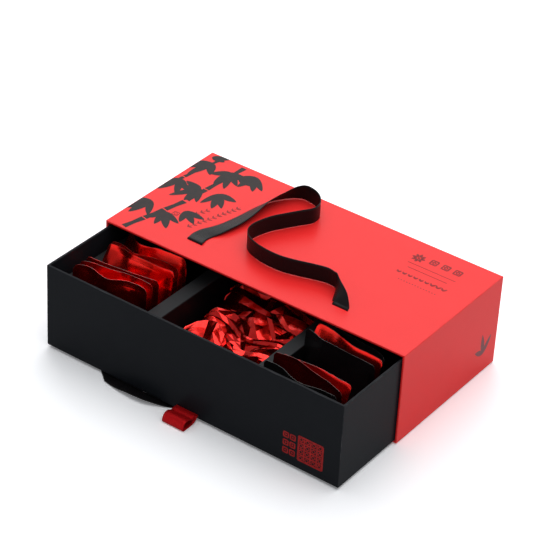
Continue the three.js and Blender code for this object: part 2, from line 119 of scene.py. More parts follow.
# Table: half its size in metres, its colour for the light and for the camera, and its glow for the camera
table_half_size = 4
table_colour = (0.86, 0.865, 0.875)
table_seen_colour = (1.165, 1.17, 1.185)
table_glow = 0.1

# Lamps: name, place, aim and size in metres, and watts
softboxes = (
    ("overhead_softbox", (0.1, 0.15, 1.35), (0, -0.05, 0.05), (2.2, 1.6), 18),
    ("back_left_softbox", (-0.95, 1.15, 1.05), (0, -0.03, 0.05), (1.5, 1.1), 8),
)


def lerp(a, b, share):
    return a + (b - a) * share


def smooth(share):
    share = min(1, max(0, share))
    return share * share * (3 - 2 * share)


def along_table(values, share):
    """A smooth curve through evenly spaced values, at a share from 0 to 1."""
    place = min(1, max(0, share)) * (len(values) - 1)
    index = min(int(place), len(values) - 2)
    t = place - index
    before = values[max(index - 1, 0)]
    a, b = values[index], values[index + 1]
    after = values[min(index + 2, len(values) - 1)]
    square_part = (2 * before - 5 * a + 4 * b - after) * t * t
    cube_part = (3 * (a - b) + after - before) * t**3
    return 0.5 * (2 * a + (b - before) * t + square_part + cube_part)


# Shader nodes


def feed(tree, socket, value):
    """Links an output to a socket, or sets it to a number, a vector, or a colour without its alpha."""
    if isinstance(value, bpy.types.NodeSocket):
        tree.links.new(value, socket)
    elif socket.type == "RGBA":
        socket.default_value = (*value, 1)
    else:
        socket.default_value = value


def calc(tree, operation, *values):
    node = tree.nodes.new("ShaderNodeMath")
    node.operation = operation
    for socket, value in zip(node.inputs, values):
        feed(tree, socket, value)
    return node.outputs[0]


def calc_vector(tree, operation, *values):
    node = tree.nodes.new("ShaderNodeVectorMath")
    node.operation = operation
    for socket, value in zip(node.inputs, values):
        feed(tree, socket, value)
    return node.outputs["Vector"]


def weighted_sum(tree, start, *parts):
    """A start value plus other values, each times its weight."""
    total = start
    for value, weight in parts:
        total = calc(tree, "MULTIPLY_ADD", value, weight, total)
    return total


def split(tree, vector):
    """The x, y and z of a vector."""
    node = tree.nodes.new("ShaderNodeSeparateXYZ")
    feed(tree, node.inputs[0], vector)
    return node.outputs


def ramp(tree, value, low, high, to_low=0.0, to_high=1.0):
    node = tree.nodes.new("ShaderNodeMapRange")
    node.interpolation_type = "SMOOTHSTEP"
    limits = (("From Min", low), ("From Max", high), ("To Min", to_low), ("To Max", to_high))
    for label, number in (("Value", value), *limits):
        feed(tree, node.inputs[label], number)
    return node.outputs["Result"]


def noise_of(tree, vector, scale, detail, roughness, distortion=0.0):
    node = tree.nodes.new("ShaderNodeTexNoise")
    feed(tree, node.inputs["Vector"], vector)
    feed(tree, node.inputs["Scale"], scale)
    feed(tree, node.inputs["Detail"], detail)
    feed(tree, node.inputs["Roughness"], roughness)
    feed(tree, node.inputs["Distortion"], distortion)
    return node.outputs["Fac"]


def mix_colour(tree, factor, a, b):
    node = tree.nodes.new("ShaderNodeMix")
    node.data_type = "RGBA"
    for label, value in (("Factor", factor), ("A", a), ("B", b)):
        feed(tree, node.inputs[label], value)
    return node.outputs["Result"]


# Camera, floor and light


def add_camera():
    azimuth = math.radians(camera_azimuth)
    elevation = math.radians(camera_elevation)
    roll = math.radians(camera_roll)
    level = math.cos(elevation)
    back = Vector((math.sin(azimuth) * level, -math.cos(azimuth) * level, math.sin(elevation)))
    right = Vector((math.cos(azimuth), math.sin(azimuth), 0))
    up = back.cross(right)
    tilted_right = right * math.cos(roll) + up * math.sin(roll)
    tilted_up = up * math.cos(roll) - right * math.sin(roll)
    turn = Matrix((tilted_right, tilted_up, back)).transposed().to_4x4()
    data = bpy.data.cameras.new("photo_camera")
    data.sensor_width = sensor_width_mm
    data.lens = sensor_width_mm * camera_focal_length / photo_width
    data.clip_start = 0.05
    data.clip_end = 50
    camera = bpy.data.objects.new("photo_camera", data)
    camera.matrix_world = Matrix.Translation([value * MM for value in camera_place]) @ turn
    bpy.context.scene.collection.objects.link(camera)
    bpy.context.scene.camera = camera


def add_softbox(name, place, aim, size, watts):
    data = bpy.data.lights.new(name, "AREA")
    data.shape = "RECTANGLE"
    data.size, data.size_y = size
    data.energy = watts
    lamp = bpy.data.objects.new(name, data)
    lamp.location = place
    lamp.rotation_euler = (Vector(aim) - Vector(place)).to_track_quat("-Z", "Y").to_euler()
    bpy.context.scene.collection.objects.link(lamp)


def background_seen(tree):
    """1 for the rays that show the background: those of the camera, and those let through."""
    path = tree.nodes.new("ShaderNodeLightPath")
    return calc(tree, "MAXIMUM", path.outputs["Is Camera Ray"], path.outputs["Is Transmission Ray"])


def add_world():
    """A pale room. The background, and reflections of its lower part, are white."""
    world = bpy.data.worlds.new("studio")
    bpy.context.scene.world = world
    world.use_nodes = True
    tree = world.node_tree
    tree.nodes.clear()
    mix = tree.nodes.new("ShaderNodeMixShader")
    for number, colour, strength in ((1, room_colour, room_strength), (2, (1, 1, 1), 1)):
        shade = tree.nodes.new("ShaderNodeBackground")
        feed(tree, shade.inputs["Color"], colour)
        feed(tree, shade.inputs["Strength"], strength)
        feed(tree, mix.inputs[number], shade.outputs[0])
    height = split(tree, tree.nodes.new("ShaderNodeTexCoord").outputs["Generated"])[2]
    mirrored = tree.nodes.new("ShaderNodeLightPath").outputs["Is Glossy Ray"]
    low_wall = calc(tree, "MULTIPLY", ramp(tree, height, white_wall_starts, white_wall_full), mirrored)
    feed(tree, mix.inputs["Fac"], calc(tree, "MAXIMUM", background_seen(tree), low_wall))
    out = tree.nodes.new("ShaderNodeOutputWorld")
    feed(tree, out.inputs["Surface"], mix.outputs[0])


def add_table():
    bm = bmesh.new()
    bmesh.ops.create_grid(bm, x_segments=1, y_segments=1, size=table_half_size)
    bmesh.ops.translate(bm, vec=(0, 0, cad_low.z), verts=bm.verts)
    mesh = bpy.data.meshes.new("white_table")
    bm.to_mesh(mesh)
    bm.free()
    table = bpy.data.objects.new("white_table", mesh)
    bpy.context.scene.collection.objects.link(table)
    material = bpy.data.materials.new("white_table")
    material.use_nodes = True
    tree = material.node_tree
    sockets = tree.nodes["Principled BSDF"].inputs
    shown = background_seen(tree)
    feed(tree, sockets["Roughness"], 0.6)
    feed(tree, sockets["Base Color"], mix_colour(tree, shown, table_colour, table_seen_colour))
    feed(tree, sockets["Emission Strength"], calc(tree, "MULTIPLY", shown, table_glow))
    feed(tree, sockets["Emission Color"], (1, 1, 1))
    mesh.materials.append(material)


# Shader groups


def new_group(name, inputs, outputs):
    group = bpy.data.node_groups.new(name, "ShaderNodeTree")
    for label, kind, value in inputs:
        socket = group.interface.new_socket(name=label, in_out="INPUT", socket_type=kind)
        if value is not None:
            socket.default_value = value
    for label in outputs:
        group.interface.new_socket(name=label, in_out="OUTPUT", socket_type="NodeSocketFloat")
    inner = group.nodes.new("NodeGroupInput")
    outer = group.nodes.new("NodeGroupOutput")
    return group, inner.outputs, outer.inputs


def make_paper_surface():
    """Fine fibres, a soft unevenness from the board under the paper, and faint rub marks."""
    group, given, out = new_group(
        "paper_surface",
        [("Vector", "NodeSocketVector", None), ("Fibre Scale", "NodeSocketFloat", 900.0)],
        ["Height", "Tone", "Rub"],
    )
    fine = noise_of(group, given["Vector"], given["Fibre Scale"], 3, 0.65)
    stretched = calc_vector(group, "MULTIPLY", given["Vector"], (1.0, 0.22, 1.0))
    fibres = noise_of(group, stretched, calc(group, "MULTIPLY", given["Fibre Scale"], 1.6), 1, 0.5)
    board = noise_of(group, given["Vector"], 34, 2, 0.5)
    long_marks = calc_vector(group, "MULTIPLY", given["Vector"], (14.0, 60.0, 30.0))
    feed(group, out["Height"], weighted_sum(group, 0, (fine, 0.5), (fibres, 0.3), (board, 0.9)))
    feed(group, out["Tone"], weighted_sum(group, 0, (fine, 0.6), (board, 0.4)))
    feed(group, out["Rub"], ramp(group, noise_of(group, long_marks, 1, 3, 0.6, 0.8), 0.6, 0.8))
    return group


def make_edge_wear_and_highlight():
    """How close a point is to the edges of a box between two corners: Line, which the papers use as a painted
    highlight along every edge, and Worn, the same broken up as rubbed paper is.
    """
    group, given, out = new_group(
        "edge_wear_and_highlight",
        [
            ("Vector", "NodeSocketVector", None),
            ("Middle", "NodeSocketVector", None),
            ("Half Size", "NodeSocketVector", None),
            ("Reach", "NodeSocketFloat", 0.0006),
        ],
        ["Line", "Worn"],
    )
    offset = calc_vector(group, "ABSOLUTE", calc_vector(group, "SUBTRACT", given["Vector"], given["Middle"]))
    x, y, z = split(group, calc_vector(group, "SUBTRACT", given["Half Size"], offset))
    pairs = [calc(group, "MAXIMUM", x, y), calc(group, "MAXIMUM", y, z), calc(group, "MAXIMUM", x, z)]
    nearest = calc(group, "MINIMUM", calc(group, "MINIMUM", pairs[0], pairs[1]), pairs[2])
    line = ramp(group, nearest, given["Reach"], 0.0)
    patches = ramp(group, noise_of(group, given["Vector"], 55, 4, 0.7), 0.45, 0.68)
    feed(group, out["Line"], line)
    feed(group, out["Worn"], calc(group, "MULTIPLY", line, patches))
    return group


def make_ribbon_weave():
    """Satin ribbon: fine weft lines across, a twill drift along them, and a thick selvedge at both edges."""
    group, given, out = new_group(
        "ribbon_weave",
        [("UV", "NodeSocketVector", None), ("Width", "NodeSocketFloat", ribbon_width * MM)],
        ["Height", "Tone", "Selvedge"],
    )
    weft_spacing = 0.00042
    warp_spacing = 0.0005
    along, across, _ = split(group, given["UV"])
    weft = calc(group, "SINE", calc(group, "MULTIPLY", along, 2 * math.pi / weft_spacing))
    drift = calc(group, "ADD", across, calc(group, "MULTIPLY", along, 0.5))
    warp = calc(group, "SINE", calc(group, "MULTIPLY", drift, 2 * math.pi / warp_spacing))
    weave = weighted_sum(group, 0, (weft, 0.55), (warp, 0.35))
    from_edge = calc(group, "MINIMUM", across, calc(group, "SUBTRACT", given["Width"], across))
    selvedge = ramp(group, from_edge, 0.0009, 0.0005)
    threads = calc_vector(group, "MULTIPLY", given["UV"], (40.0, 2600.0, 1.0))
    slub = noise_of(group, threads, 1, 2, 0.6)
    feed(group, out["Height"], weighted_sum(group, weave, (selvedge, 2.5), (slub, 0.8)))
    feed(group, out["Tone"], weighted_sum(group, slub, (weave, 0.25)))
    feed(group, out["Selvedge"], selvedge)
    return group


def make_foil_crinkle():
    """Shallow creases in thin foil, slow tone changes between them, and the welded band along its cut edge.
    Edge Map has the distances to the nearest side edge and to the top edge."""
    group, given, out = new_group(
        "foil_crinkle",
        [
            ("Vector", "NodeSocketVector", None),
            ("Edge Map", "NodeSocketVector", None),
            ("Crease Scale", "NodeSocketFloat", 120.0),
            ("Band", "NodeSocketFloat", weld_band * MM),
        ],
        ["Height", "Tone", "Rim", "Side"],
    )
    rib_spacing = 0.0011
    scale = given["Crease Scale"]
    cells = group.nodes.new("ShaderNodeTexVoronoi")
    cells.feature = "DISTANCE_TO_EDGE"
    feed(group, cells.inputs["Vector"], given["Vector"])
    feed(group, cells.inputs["Scale"], scale)
    ridge = ramp(group, cells.outputs["Distance"], 0.0, 0.3)
    folds = noise_of(group, given["Vector"], calc(group, "MULTIPLY", scale, 0.6), 1, 0.4)
    from_side, from_top, _ = split(group, given["Edge Map"])
    from_edge = calc(group, "MINIMUM", from_side, from_top)
    from_weld = calc(group, "ABSOLUTE", calc(group, "SUBTRACT", from_edge, given["Band"]))
    weld = ramp(group, from_weld, 0.0008, 0.0)
    ribs = calc(group, "SINE", calc(group, "MULTIPLY", from_edge, 2 * math.pi / rib_spacing))
    band_ends, band_full = (calc(group, "MULTIPLY", given["Band"], share) for share in (1.02, 0.9))
    band_ribs = calc(group, "MULTIPLY", ribs, ramp(group, from_edge, band_ends, band_full))
    height = weighted_sum(group, 0, (ridge, 0.35), (folds, 1.6), (weld, -0.7), (band_ribs, 0.05))
    shine = ramp(group, noise_of(group, given["Vector"], 140, 2, 0.6), 0.38, 0.6, 0.2, 1.0)
    below_top = ramp(group, from_top, 0.003, 0.014)
    feed(group, out["Height"], height)
    feed(group, out["Tone"], noise_of(group, given["Vector"], calc(group, "MULTIPLY", scale, 0.4), 2, 0.5))
    # Rim: a painted highlight along the top cut edge, broken up by the shine noise
    feed(group, out["Rim"], calc(group, "MULTIPLY", ramp(group, from_top, 0.00034, 0.00018), shine))
    # Side: painted shade, darker towards the side edges below the top
    feed(group, out["Side"], calc(group, "MULTIPLY", ramp(group, from_side, 0.0075, 0.003), below_top))
    return group


paper_surface = make_paper_surface()
edge_wear_and_highlight = make_edge_wear_and_highlight()
ribbon_weave = make_ribbon_weave()
foil_crinkle = make_foil_crinkle()


# Materials


class Finish:
    """A material being built: its tree, its shader and the coordinates that its patterns read."""

    def __init__(self, name, source="Object"):
        self.material = bpy.data.materials.new(name)
        self.material.use_nodes = True
        self.tree = self.material.node_tree
        self.shader = self.tree.nodes["Principled BSDF"]
        self.place = self.tree.nodes.new("ShaderNodeTexCoord").outputs[source]

    def group(self, kind, **values):
        node = self.tree.nodes.new("ShaderNodeGroup")
        node.node_tree = kind
        for label, value in values.items():
            feed(self.tree, node.inputs[label.replace("_", " ")], value)
        return node.outputs

    def set(self, **values):
        for label, value in values.items():
            feed(self.tree, self.shader.inputs[label.replace("_", " ")], value)

    def bump(self, height, distance, strength):
        node = self.tree.nodes.new("ShaderNodeBump")
        feed(self.tree, node.inputs["Strength"], strength)
        feed(self.tree, node.inputs["Distance"], distance)
        feed(self.tree, node.inputs["Height"], height)
        self.set(Normal=node.outputs["Normal"])


def printed_paper(name, box, colour, deep, wear_and_highlight_colour, roughness, specular):
    """Smooth coated paper over board, in one colour, rubbed a little at the box's edges, with a painted
    highlight along every edge.
    """
    finish = Finish(name)
    tree = finish.tree
    sheet = finish.group(paper_surface, Vector=finish.place)
    middle = tuple((a + b) / 2 * MM for a, b in zip(*box))
    half = tuple((b - a) / 2 * MM for a, b in zip(*box))
    wear_and_highlight_masks = finish.group(edge_wear_and_highlight, Vector=finish.place, Middle=middle, Half_Size=half)
    base = mix_colour(tree, ramp(tree, sheet["Tone"], 0.3, 0.7), deep, colour)
    # Painted highlight: every edge is lightened a little, as if it caught the light, with real rub marks in
    # patches over it
    wear_and_highlight_mask = weighted_sum(tree, 0, (wear_and_highlight_masks["Line"], 0.25), (wear_and_highlight_masks["Worn"], 0.55))
    finish.set(Base_Color=mix_colour(tree, wear_and_highlight_mask, base, wear_and_highlight_colour), Specular_IOR_Level=specular)
    rubbing = ((sheet["Tone"], 0.06), (sheet["Rub"], 0.05), (wear_and_highlight_masks["Worn"], 0.2))
    finish.set(Roughness=weighted_sum(tree, roughness, *rubbing))
    finish.bump(sheet["Height"], 0.00006, 0.5)
    return finish.material


def raw_board(name, colour, fleck):
    """The cut face of grey board: pulp flecks and thin layers."""
    finish = Finish(name)
    tree = finish.tree
    flecks = noise_of(tree, finish.place, 1500, 4, 0.75)
    layered = calc_vector(tree, "MULTIPLY", finish.place, (300.0, 300.0, 5200.0))
    layers = noise_of(tree, layered, 1, 2, 0.6)
    finish.set(Base_Color=mix_colour(tree, ramp(tree, flecks, 0.42, 0.62), fleck, colour))
    finish.set(Roughness=weighted_sum(tree, 0.82, (flecks, 0.12)), Specular_IOR_Level=0.25)
    finish.bump(calc(tree, "ADD", flecks, layers), 0.0001, 0.6)
    return finish.material


def folded_card(name, colour, deep, painted_top_light):
    """Matt black card with a faint grain. Its tops are painted lighter than the walls of its wells: painted
    light on the tops, painted shade down the walls.
    """
    finish = Finish(name)
    tree = finish.tree
    sheet = finish.group(paper_surface, Vector=finish.place, Fibre_Scale=1400.0)
    base = mix_colour(tree, ramp(tree, sheet["Tone"], 0.3, 0.7), deep, colour)
    # Painted light: the card turns lighter within a millimetre or two of the height of its tops
    top = ramp(tree, split(tree, finish.place)[2], (insert_top - 1.7) * MM, (insert_top - 0.4) * MM)
    finish.set(Base_Color=mix_colour(tree, top, base, painted_top_light), Specular_IOR_Level=0.04)
    finish.set(Roughness=weighted_sum(tree, 0.46, (sheet["Tone"], 0.12)))
    finish.bump(sheet["Height"], 0.00008, 0.5)
    return finish.material


def satin_ribbon(name, width, colour, deep, roughness, specular, metal=0.0):
    finish = Finish(name, "UV")
    tree = finish.tree
    weave = finish.group(ribbon_weave, UV=finish.place, Width=width * MM)
    base = mix_colour(tree, ramp(tree, weave["Tone"], 0.2, 0.9), deep, colour)
    finish.set(Base_Color=mix_colour(tree, calc(tree, "MULTIPLY", weave["Selvedge"], 0.5), base, deep))
    finish.set(Roughness=weighted_sum(tree, roughness, (weave["Selvedge"], 0.12)))
    finish.set(Specular_IOR_Level=specular, Metallic=metal)
    finish.bump(weave["Height"], 0.00004, 0.6)
    return finish.material


def crumpled_foil(name, colour, deep, rim, metal, roughness, coat, depth):
    """Metallised film: its colour, its welded band, the pale line of its cut edge, painted as a highlight where
    that edge catches the light, and painted shade along its side edges.
    """
    finish = Finish(name)
    tree = finish.tree
    edge_map = tree.nodes.new("ShaderNodeUVMap")
    edge_map.uv_map = "EdgeMap"
    crinkle = finish.group(foil_crinkle, Vector=finish.place, Edge_Map=edge_map.outputs[0])
    tone = ramp(tree, crinkle["Tone"], 0.35, 0.65)
    painted_side_shade = tuple(part * 0.3 for part in deep)
    film = mix_colour(tree, tone, deep, colour)
    # Painted shade: the film darkens towards its side edges
    film = mix_colour(tree, calc(tree, "MULTIPLY", crinkle["Side"], 0.6), film, painted_side_shade)
    # Painted highlight: a pale, less metallic line along the top cut edge
    finish.set(Base_Color=mix_colour(tree, crinkle["Rim"], film, rim), Specular_IOR_Level=0.2)
    finish.set(Metallic=calc(tree, "MULTIPLY", calc(tree, "SUBTRACT", 1.0, crinkle["Rim"]), metal))
    finish.set(Roughness=weighted_sum(tree, roughness, (tone, 0.06)))
    finish.set(Coat_Weight=coat, Coat_Roughness=0.08)
    finish.bump(crinkle["Height"], depth, 0.5)
    return finish.material


def printed_ink(name, colour, deep):
    """Flat ink on coated paper, a little uneven where it was laid thin."""
    finish = Finish(name)
    tree = finish.tree
    film = noise_of(tree, finish.place, 260, 4, 0.6)
    finish.set(Base_Color=mix_colour(tree, ramp(tree, film, 0.35, 0.7), deep, colour))
    finish.set(Roughness=weighted_sum(tree, 0.3, (film, 0.1)), Specular_IOR_Level=0.12)
    finish.bump(noise_of(tree, finish.place, 1400, 2, 0.5), 0.00003, 0.4)
    return finish.material


red_paper = printed_paper(
    "red_coated_paper",
    sleeve_box,
    colour=(0.93, 0.028, 0.028),
    deep=(0.90, 0.024, 0.024),
    wear_and_highlight_colour=(0.93, 0.10, 0.09),
    roughness=0.30,
    specular=0.15,
)
black_paper = printed_paper(
    "black_coated_paper",
    drawer_box,
    colour=(0.012, 0.0133, 0.016),
    deep=(0.0104, 0.0117, 0.0142),
    wear_and_highlight_colour=(0.10, 0.101, 0.104),
    roughness=0.26,
    specular=0.04,
)
black_lining = printed_paper(
    "black_lining_paper",
    drawer_box,
    colour=(0.008, 0.009, 0.0115),
    deep=(0.006, 0.0067, 0.009),
    wear_and_highlight_colour=(0.01, 0.01, 0.01),
    roughness=0.45,
    specular=0.12,
)
board = raw_board("grey_board", colour=(0.36, 0.34, 0.30), fleck=(0.20, 0.18, 0.16))
card = folded_card(
    "black_card", colour=(0.0055, 0.0058, 0.0065), deep=(0.004, 0.0042, 0.0048), painted_top_light=(0.034, 0.0355, 0.037)
)
black_ribbon = satin_ribbon(
    "black_satin_ribbon",
    ribbon_width,
    colour=(0.008, 0.0072, 0.0082),
    deep=(0.005, 0.0045, 0.005),
    roughness=0.36,
    specular=0.13,
)
red_ribbon = satin_ribbon(
    "red_satin_ribbon",
    tab_width,
    colour=(0.60, 0.008, 0.012),
    deep=(0.46, 0.006, 0.008),
    roughness=0.4,
    specular=0.08,
    metal=0.45,
)
# rim is the colour of the painted highlight along the film's top cut edge
bright_film = {
    "colour": (0.95, 0.022, 0.014),
    "deep": (0.88, 0.010, 0.007),
    "rim": (0.12, 0.032, 0.027),
    "metal": 0.97,
    "roughness": 0.17,
    "depth": 0.00005,
}
red_foil = crumpled_foil("red_foil", coat=0.12, **bright_film)
creased_foil = crumpled_foil("creased_red_foil", coat=0.5, **bright_film)
dark_red_foil = crumpled_foil(
    "dark_red_foil",
    colour=(0.30, 0.006, 0.006),
    deep=(0.22, 0.004, 0.004),
    rim=(0.09, 0.033, 0.03),
    metal=0.9,
    roughness=0.24,
    coat=0.1,
    depth=0.00012,
)
black_foil = crumpled_foil(
    "black_foil",
    colour=(0.012, 0.010, 0.011),
    deep=(0.008, 0.007, 0.008),
    rim=(0.05, 0.045, 0.043),
    metal=0.3,
    roughness=0.2,
    coat=0.25,
    depth=0.00012,
)
black_ink = printed_ink("black_ink", colour=(0.012, 0.0105, 0.011), deep=(0.020, 0.011, 0.011))
deep_red_ink = printed_ink("deep_red_ink", colour=(0.20, 0.012, 0.013), deep=(0.30, 0.013, 0.014))
bright_red_ink = printed_ink("bright_red_ink", colour=(0.46, 0.014, 0.013), deep=(0.30, 0.008, 0.008))
grey_ink = printed_ink("grey_ink", colour=(0.17, 0.075, 0.085), deep=(0.26, 0.06, 0.065))


# Making pieces


def finish_piece(bm, name, body, material):
    """The piece of a finished bmesh. It rides on a body, unless that is None."""
    mesh = bpy.data.meshes.new(name)
    bm.to_mesh(mesh)
    bm.free()
    mesh.materials.append(material)
    piece = bpy.data.objects.new(name, mesh)
    bpy.context.scene.collection.objects.link(piece)
    if body:
        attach(piece, body)
    return piece


def shown_through(names, material):
    """Nodes of the CAD that stay in sight, in a material of this scene."""
    for name in names:
        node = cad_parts[name]
        node.data.materials.clear()
        node.data.materials.append(material)


def creased_copy(node_name, name, body, material, creases):
    """A copy of a paper-covered node with its folds rounded. Each of the creases is a test on an edge's two
    ends in millimetres, and a radius in millimetres."""
    merge_distance = 0.000002
    flat_angle = math.radians(1)
    fold_angle = math.radians(30)
    bm = bmesh.new()
    bm.from_mesh(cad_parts[node_name].data)
    bmesh.ops.remove_doubles(bm, verts=bm.verts, dist=merge_distance)
    bmesh.ops.dissolve_limit(bm, angle_limit=flat_angle, verts=bm.verts, edges=bm.edges)
    for face in bm.faces:
        face.smooth = False
    for test, radius in creases:
        chosen = []
        for edge in bm.edges:
            if len(edge.link_faces) == 2 and edge.calc_face_angle(0) > fold_angle:
                if test([vert.co / MM for vert in edge.verts]):
                    chosen.append(edge)
        made = bmesh.ops.bevel(
            bm,
            geom=chosen,
            offset=radius * MM,
            offset_type="OFFSET",
            segments=4,
            profile=0.5,
            affect="EDGES",
            material=-1,
            clamp_overlap=True,
        )
        for face in made["faces"]:
            face.smooth = True
    piece = finish_piece(bm, name, body, material)
    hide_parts(node_name)


def on_planes(ends, planes):
    """How many of the planes, given as (axis, value), both ends lie on."""
    near = 0.02
    return sum(all(abs(end[axis] - value) < near for end in ends) for axis, value in planes)


def planes_of(box):
    """The planes of a box's six sides."""
    return [(axis, corner[axis]) for corner in box for axis in range(3)]


def outer_folds(box):
    """A test for the edges where two sides of a box meet."""
    return lambda ends: on_planes(ends, planes_of(box)) == 2


def inner_folds(box, plane):
    """A test for the edges that lie in the plane of one side of a box and in no other."""
    return lambda ends: on_planes(ends, [plane]) == 1 and on_planes(ends, planes_of(box)) == 1


def grid_piece(across_steps, along_steps, place, width, length):
    """A grid carried to place(s, t), with s and t from 0 to 1 across and along, and its UV map in metres."""
    bm = bmesh.new()
    uv = bm.loops.layers.uv.new("UVMap")
    bmesh.ops.create_grid(bm, x_segments=along_steps, y_segments=across_steps, size=0.5)
    for face in bm.faces:
        face.smooth = True
        for loop in face.loops:
            spot = loop.vert.co
            loop[uv].uv = ((spot.x + 0.5) * length, (spot.y + 0.5) * width)
    for vert in bm.verts:
        vert.co = place(vert.co.y + 0.5, vert.co.x + 0.5)
    return bm


def second_side(bm):
    """A turned copy of the sheet, joined to it all around. Returns the copy's vertex for each of its own."""
    sheet = bm.verts[:]
    made = bmesh.ops.duplicate(bm, geom=sheet + bm.edges[:] + bm.faces[:])
    turned = [item for item in made["geom"] if isinstance(item, bmesh.types.BMFace)]
    bmesh.ops.reverse_faces(bm, faces=turned)
    bmesh.ops.bridge_loops(bm, edges=[edge for edge in bm.edges if edge.is_boundary])
    return {vert: made["vert_map"][vert] for vert in sheet}


# Ribbons


def curve_through(points, place):
    """A centripetal curve through points, at a place from 0 to the last point's number."""
    index = min(int(place), len(points) - 2)
    share = place - index
    p1, p2 = points[index], points[index + 1]
    p0 = points[index - 1] if index > 0 else p1 * 2 - p2
    p3 = points[index + 2] if index + 2 < len(points) else p2 * 2 - p1
    gaps = [max((b - a).length ** 0.5, 1e-6) for a, b in ((p0, p1), (p1, p2), (p2, p3))]
    start = ((p1 - p0) / gaps[0] - (p2 - p0) / (gaps[0] + gaps[1]) + (p2 - p1) / gaps[1]) * gaps[1]
    end = ((p2 - p1) / gaps[1] - (p3 - p1) / (gaps[1] + gaps[2]) + (p3 - p2) / gaps[2]) * gaps[1]
    a = p1 * 2 - p2 * 2 + start + end
    b = p2 * 3 - p1 * 3 - start * 2 - end
    return ((a * share + b) * share + start) * share + p1


def woven_strip(stations, width, along_steps):
    """A ribbon through stations (centre, vector from the centre to one edge), in millimetres, with even steps
    along. Returns it with its length."""
    centres = [centre for centre, _ in stations]
    edges = [edge for _, edge in stations]
    last = len(stations) - 1
    spots = [curve_through(centres, step / route_steps * last) for step in range(route_steps + 1)]
    lengths = [0]
    for a, b in zip(spots, spots[1:]):
        lengths.append(lengths[-1] + (b - a).length)
    total = lengths[-1]

    def place(across, along):
        wanted = along * total
        high = min(max(bisect_left(lengths, wanted), 1), route_steps)
        low = high - 1
        span = max(lengths[high] - lengths[low], 1e-9)
        where = (low + (wanted - lengths[low]) / span) / route_steps * last
        return (curve_through(centres, where) + curve_through(edges, where) * (across * 2 - 1)) * MM

    bm = grid_piece(ribbon_steps_across, along_steps, place, width * MM, total * MM)
    bm.normal_update()
    offsets = [(vert, vert.normal * (ribbon_thickness * MM / 2)) for vert in bm.verts]
    second = second_side(bm)
    for vert, offset in offsets:
        second[vert].co -= offset
        vert.co += offset
    bmesh.ops.recalc_face_normals(bm, faces=bm.faces)
    return bm, total


def slit_ends(up, face, outside, across):
    """The stations of a handle's two ends, from the glued bed under the panel through the slit. outside has
    those past the panel's face, as (distance back from the slit, height), and up is -1 on the underside."""
    bed = face - up * bed_depth
    glued = ((glued_length, bed), (glued_length / 2, bed), (0.6, bed))
    places = (*glued, (0.15, bed + up * 0.1), (0, bed + up * 0.45), (0, face), *outside)
    left, right = (
        [(Vector((side * slit_half_spacing, slit_y + back, z)), across.copy()) for back, z in places]
        for side in (-1, 1)
    )
    return left, right[::-1]


# Top handle's lower edge, across in half slit spacings and back in sleeve depths, and the way to its upper edge
top_route = (
    (-1.119, 0.211, 1, -0.03, 0),
    (-1.097, 0.273, 0.97, -0.22, 0),
    (-1.041, 0.332, 0.93, -0.34, 0.1),
    (-0.996, 0.393, 0.94, -0.27, 0.21),
    (-0.967, 0.459, 0.95, -0.17, 0.26),
    (-0.941, 0.536, 0.92, -0.13, 0.36),
    (-0.922, 0.609, 0.86, -0.12, 0.49),
    (-0.906, 0.666, 0.79, -0.13, 0.6),
    (-0.888, 0.713, 0.72, -0.17, 0.67),
    (-0.863, 0.754, 0.66, -0.23, 0.71),
    (-0.831, 0.796, 0.59, -0.28, 0.76),
    (-0.792, 0.83, 0.51, -0.29, 0.81),
    (-0.746, 0.863, 0.39, -0.29, 0.87),
    (-0.699, 0.89, 0.27, -0.25, 0.93),
    (-0.648, 0.91, 0.15, -0.2, 0.97),
    (-0.587, 0.923, 0.05, -0.1, 0.99),
    (-0.516, 0.92, 0, 0, 1),
    (-0.389, 0.904, 0, 0, 1),
    (-0.28, 0.863, 0, 0, 1),
    (-0.216, 0.811, 0, 0, 1),
    (-0.208, 0.749, 0, 0, 1),
    (-0.294, 0.674, 0, 0, 1),
    (-0.389, 0.595, 0, 0, 1),
    (-0.47, 0.522, 0, 0, 1),
    (-0.519, 0.447, 0, 0, 1),
    (-0.54, 0.378, 0, 0, 1),
    (-0.516, 0.323, 0, 0, 1),
    (-0.437, 0.276, 0, 0, 1),
    (-0.3, 0.242, 0, 0, 1),
    (-0.109, 0.223, 0, 0, 1),
    (0.089, 0.223, 0, 0, 1),
    (0.273, 0.244, 0, 0, 1),
    (0.464, 0.275, 0, 0, 1),
    (0.628, 0.295, 0, 0, 1),
    (0.724, 0.292, 0, -0.05, 1),
    (0.757, 0.284, 0.02, 0, 1),
    (0.78, 0.267, 0.07, 0.03, 1),
    (0.801, 0.246, 0.16, 0.07, 0.98),
    (0.824, 0.22, 0.31, 0.14, 0.94),
    (0.846, 0.196, 0.5, 0.22, 0.84),
    (0.869, 0.174, 0.75, 0.25, 0.61),
)
top_handle_steps = 420


def add_top_handle():
    edge = ribbon_width / 2
    top = sleeve_height
    arch = ((0, top + 0.55), (0.55, top + 1.1), (2.2, top + 1.1))
    start, end = slit_ends(1, top, arch, Vector((edge, 0, 0)))
    run = []
    for x, y, out_x, out_y, out_z in top_route:
        across = Vector((out_x, out_y, out_z)).normalized() * edge
        foot = Vector((x * slit_half_spacing, sleeve_front + y * sleeve_depth, top + 0.5))
        run.append((foot + across, across))
    bm, total = woven_strip(start + run + end, ribbon_width, top_handle_steps)
    piece = finish_piece(bm, "top_handle", "sleeve", black_ribbon)
    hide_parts("top_handle_ribbon")


# The base handle's middle line before its fold, in the same measures, and the direction to one edge
base_before_fold = (
    (-1.038, 0.005, 1, -0.15),
    (-1.127, -0.167, 0.96, -0.28),
    (-1.223, -0.325, 0.97, -0.22),
    (-1.254, -0.428, 1, 0.05),
)
